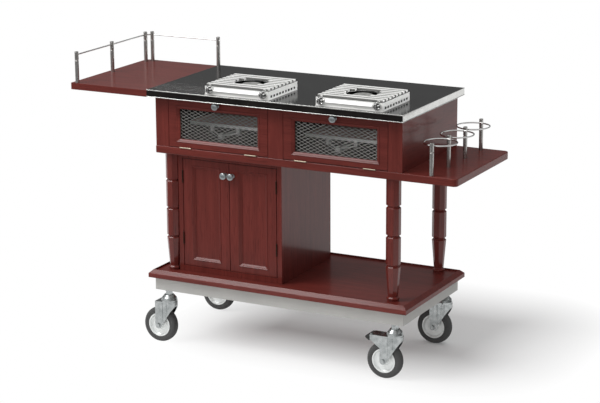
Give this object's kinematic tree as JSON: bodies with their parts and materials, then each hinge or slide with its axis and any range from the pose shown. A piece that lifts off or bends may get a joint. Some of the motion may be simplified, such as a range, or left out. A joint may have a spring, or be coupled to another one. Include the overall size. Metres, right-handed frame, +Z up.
{
  "type": "flambe trolley",
  "caption": "Wooden flambe trolley on castors: dark worktop with gas burners, mesh flaps, cupboard, bottle rings and a side shelf with a rail.",
  "frame": {"origin": "on the floor under the middle of the overall box", "axes": "+X along the trolley from the side shelf to the bottle rings, +Y from the flaps to the back, +Z up"},
  "size_m": [1.4314, 0.502, 1.006],
  "materials": {
    "lacquered_wood": "gloss lacquer",
    "inner_wood": "satin lacquer",
    "dark_laminate": "polished",
    "steel_trim": "polished",
    "chrome_metal": "bright",
    "hinge_steel": "satin",
    "painted_frame": "satin",
    "zinc_steel": "zinc plated",
    "wheel_plastic": "matt",
    "tyre_rubber": "matt",
    "burner_aluminium": "cast"
  },
  "bodies": {
    "trolley": {"deck_board": "lacquered_wood", "deck_edge_moulding": "lacquered_wood", "legs": "lacquered_wood", "cupboard_sides": "lacquered_wood", "front_frames": "lacquered_wood", "bottom_board": "lacquered_wood", "upper_sides": "lacquered_wood", "left_shelf": "lacquered_wood", "back_panels": "inner_wood", "centre_divider": "inner_wood", "half_shelves": "inner_wood", "worktop_slab": "dark_laminate", "worktop_edge_trim": "steel_trim", "half_shelf_strips": "steel_trim", "burner_bodies": "steel_trim", "gallery_posts": "chrome_metal", "gallery_rods": "chrome_metal", "bottle_rack_posts": "chrome_metal", "bottle_rings": "chrome_metal", "gas_pipework": "chrome_metal", "fixed_hinge_leaves": "hinge_steel", "bracket_screws": "hinge_steel", "chassis_frame": "painted_frame", "shelf_brackets": "painted_frame", "castor_stems": "zinc_steel", "burner_heads": "burner_aluminium"},
    "flap_left": {"flap_frame_left": "lacquered_wood", "flap_mesh_left": "steel_trim", "flap_knob_left": "chrome_metal", "flap_hinge_leaves_left": "hinge_steel"},
    "flap_right": {"flap_frame_right": "lacquered_wood", "flap_mesh_right": "steel_trim", "flap_knob_right": "chrome_metal", "flap_hinge_leaves_right": "hinge_steel"},
    "door_left": {"cupboard_door_left": "lacquered_wood", "cupboard_knob_left": "chrome_metal", "door_hinge_leaves_left": "hinge_steel"},
    "door_right": {"cupboard_door_right": "lacquered_wood", "cupboard_knob_right": "chrome_metal", "door_hinge_leaves_right": "hinge_steel"},
    "pan_left": {"pan_support_left": "steel_trim"},
    "pan_right": {"pan_support_right": "steel_trim"},
    "castor_fl": {"castor_fork_fl": "zinc_steel"},
    "wheel_fl": {"castor_wheel_fl": "wheel_plastic", "castor_tyre_fl": "tyre_rubber"},
    "castor_fr": {"castor_fork_fr": "zinc_steel"},
    "wheel_fr": {"castor_wheel_fr": "wheel_plastic", "castor_tyre_fr": "tyre_rubber"},
    "castor_bl": {"castor_fork_bl": "zinc_steel"},
    "wheel_bl": {"castor_wheel_bl": "wheel_plastic", "castor_tyre_bl": "tyre_rubber"},
    "castor_br": {"castor_fork_br": "zinc_steel"},
    "wheel_br": {"castor_wheel_br": "wheel_plastic", "castor_tyre_br": "tyre_rubber"},
    "brake_fr": {"brake_pedal_fr": "zinc_steel"},
    "brake_bl": {"brake_pedal_bl": "zinc_steel"},
    "knob_left_a": {"burner_knob_left_a": "chrome_metal"},
    "knob_left_b": {"burner_knob_left_b": "chrome_metal"},
    "knob_right_a": {"burner_knob_right_a": "chrome_metal"},
    "knob_right_b": {"burner_knob_right_b": "chrome_metal"}
  },
  "joints": [
    {"name": "flap_left_hinge", "type": "hinge", "parent": "trolley", "child": "flap_left", "pos_m": [-0.15325, -0.2202, 0.7042], "axis": [1, 0, 0], "range_deg": [0, 90]},
    {"name": "flap_right_hinge", "type": "hinge", "parent": "trolley", "child": "flap_right", "pos_m": [0.28475, -0.2202, 0.7042], "axis": [1, 0, 0], "range_deg": [0, 90]},
    {"name": "door_left_hinge", "type": "hinge", "parent": "trolley", "child": "door_left", "pos_m": [-0.31105, -0.1872, 0.47], "axis": [0, 0, -1], "range_deg": [0, 110]},
    {"name": "door_right_hinge", "type": "hinge", "parent": "trolley", "child": "door_right", "pos_m": [0.05055, -0.1872, 0.47], "axis": [0, 0, 1], "range_deg": [0, 110]},
    {"name": "castor_fl_swivel", "type": "hinge", "parent": "trolley", "child": "castor_fl", "pos_m": [-0.36125, -0.2095, 0.16], "axis": [0, 0, 1], "continuous": true},
    {"name": "wheel_fl_roll", "type": "hinge", "parent": "castor_fl", "child": "wheel_fl", "pos_m": [-0.39525, -0.2095, 0.0625], "axis": [0, 1, 0], "continuous": true},
    {"name": "castor_fr_swivel", "type": "hinge", "parent": "trolley", "child": "castor_fr", "pos_m": [0.50075, -0.2095, 0.16], "axis": [0, 0, 1], "continuous": true},
    {"name": "wheel_fr_roll", "type": "hinge", "parent": "castor_fr", "child": "wheel_fr", "pos_m": [0.46675, -0.2095, 0.0625], "axis": [0, 1, 0], "continuous": true},
    {"name": "castor_bl_swivel", "type": "hinge", "parent": "trolley", "child": "castor_bl", "pos_m": [-0.36125, 0.1965, 0.16], "axis": [0, 0, 1], "continuous": true},
    {"name": "wheel_bl_roll", "type": "hinge", "parent": "castor_bl", "child": "wheel_bl", "pos_m": [-0.39525, 0.1965, 0.0625], "axis": [0, 1, 0], "continuous": true},
    {"name": "castor_br_swivel", "type": "hinge", "parent": "trolley", "child": "castor_br", "pos_m": [0.50075, 0.1965, 0.16], "axis": [0, 0, 1], "continuous": true},
    {"name": "wheel_br_roll", "type": "hinge", "parent": "castor_br", "child": "wheel_br", "pos_m": [0.46675, 0.1965, 0.0625], "axis": [0, 1, 0], "continuous": true},
    {"name": "brake_fr_press", "type": "hinge", "parent": "castor_fr", "child": "brake_fr", "pos_m": [0.44775, -0.2095, 0.142], "axis": [0, -1, 0], "range_deg": [0, 12]},
    {"name": "brake_bl_press", "type": "hinge", "parent": "castor_bl", "child": "brake_bl", "pos_m": [-0.41425, 0.1965, 0.142], "axis": [0, -1, 0], "range_deg": [0, 12]},
    {"name": "pan_left_lift", "type": "slide", "parent": "trolley", "child": "pan_left", "axis": [0, 0, 1], "range_m": [0, 0.1]},
    {"name": "knob_left_a_turn", "type": "hinge", "parent": "trolley", "child": "knob_left_a", "pos_m": [-0.17125, -0.233, 0.9175], "axis": [0, -1, 0], "range_deg": [0, 200]},
    {"name": "knob_left_b_turn", "type": "hinge", "parent": "trolley", "child": "knob_left_b", "pos_m": [0.03075, -0.233, 0.9175], "axis": [0, -1, 0], "range_deg": [0, 200]},
    {"name": "pan_right_lift", "type": "slide", "parent": "trolley", "child": "pan_right", "axis": [0, 0, 1], "range_m": [0, 0.1]},
    {"name": "knob_right_a_turn", "type": "hinge", "parent": "trolley", "child": "knob_right_a", "pos_m": [0.24275, -0.233, 0.9175], "axis": [0, -1, 0], "range_deg": [0, 200]},
    {"name": "knob_right_b_turn", "type": "hinge", "parent": "trolley", "child": "knob_right_b", "pos_m": [0.44475, -0.233, 0.9175], "axis": [0, -1, 0], "range_deg": [0, 200]}
  ]
}
